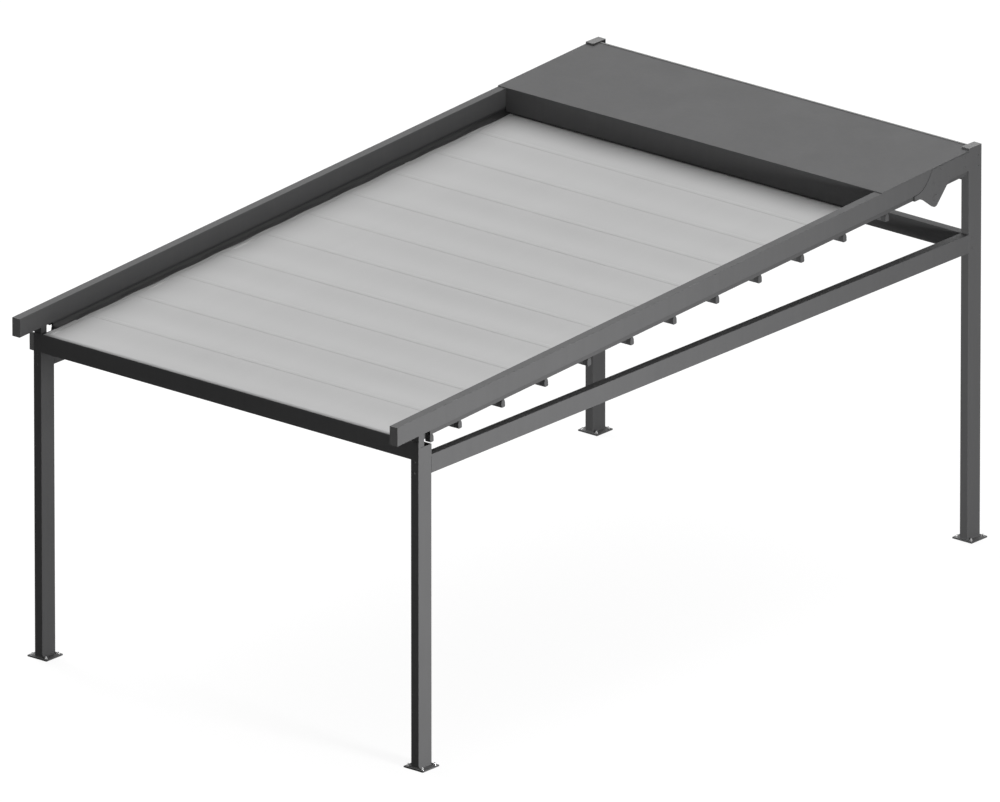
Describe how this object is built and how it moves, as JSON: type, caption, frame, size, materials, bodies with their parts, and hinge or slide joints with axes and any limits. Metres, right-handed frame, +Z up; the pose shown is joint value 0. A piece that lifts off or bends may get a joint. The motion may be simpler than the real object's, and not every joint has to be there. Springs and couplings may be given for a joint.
{
  "type": "terrace pergola with folding fabric roof",
  "caption": "Free-standing terrace pergola: posts and a ring of beams carry two sloping rails, a front gutter, a rear hood and a flat fabric roof held by cross battens.",
  "frame": {"origin": "on the floor, in the middle of the bounding box", "axes": "+Z up, +Y from the low front edge with the gutter to the high rear edge with the hood, +X to the right seen from the front"},
  "size_m": [4.12, 7.277, 3.35],
  "materials": {
    "frame_metal": "fine-textured powder coat",
    "base_steel": "powder-coated steel plate",
    "track_metal": "powder-coated extrusion",
    "hood_sheet": "powder-coated folded sheet",
    "batten_metal": "powder-coated extrusion",
    "carriage_metal": "cast and painted",
    "cap_plastic": "moulded",
    "canopy_fabric": "coated woven cloth"
  },
  "bodies": {
    "root": {"batten_01": "batten_metal", "batten_02": "batten_metal", "batten_03": "batten_metal", "batten_04": "batten_metal", "batten_05": "batten_metal", "batten_06": "batten_metal", "batten_07": "batten_metal", "batten_08": "batten_metal", "batten_09": "batten_metal", "batten_10": "batten_metal", "batten_11": "batten_metal", "batten_12": "batten_metal", "canopy_fabric": "canopy_fabric", "front_bar": "batten_metal", "front_gutter": "frame_metal", "front_left_base_plate": "base_steel", "front_left_post": "frame_metal", "front_right_base_plate": "base_steel", "front_right_post": "frame_metal", "gutter_left_end_box": "cap_plastic", "gutter_right_end_cap": "cap_plastic", "hood_fascia": "hood_sheet", "hood_sheet": "hood_sheet", "left_carriages": "carriage_metal", "left_guide_track": "track_metal", "left_rail": "frame_metal", "left_rail_cheek": "frame_metal", "left_rail_front_cap": "cap_plastic", "left_side_beam": "frame_metal", "rail_feet": "frame_metal", "rear_fixing_bar": "batten_metal", "rear_left_base_plate": "base_steel", "rear_left_post": "frame_metal", "rear_left_post_cap": "cap_plastic", "rear_lower_beam": "frame_metal", "rear_right_base_plate": "base_steel", "rear_right_post": "frame_metal", "rear_right_post_cap": "cap_plastic", "rear_upper_beam": "frame_metal", "right_carriages": "carriage_metal", "right_guide_track": "track_metal", "right_rail": "frame_metal", "right_rail_cheek": "frame_metal", "right_rail_front_cap": "cap_plastic", "right_side_beam": "frame_metal"}
  },
  "joints": []
}
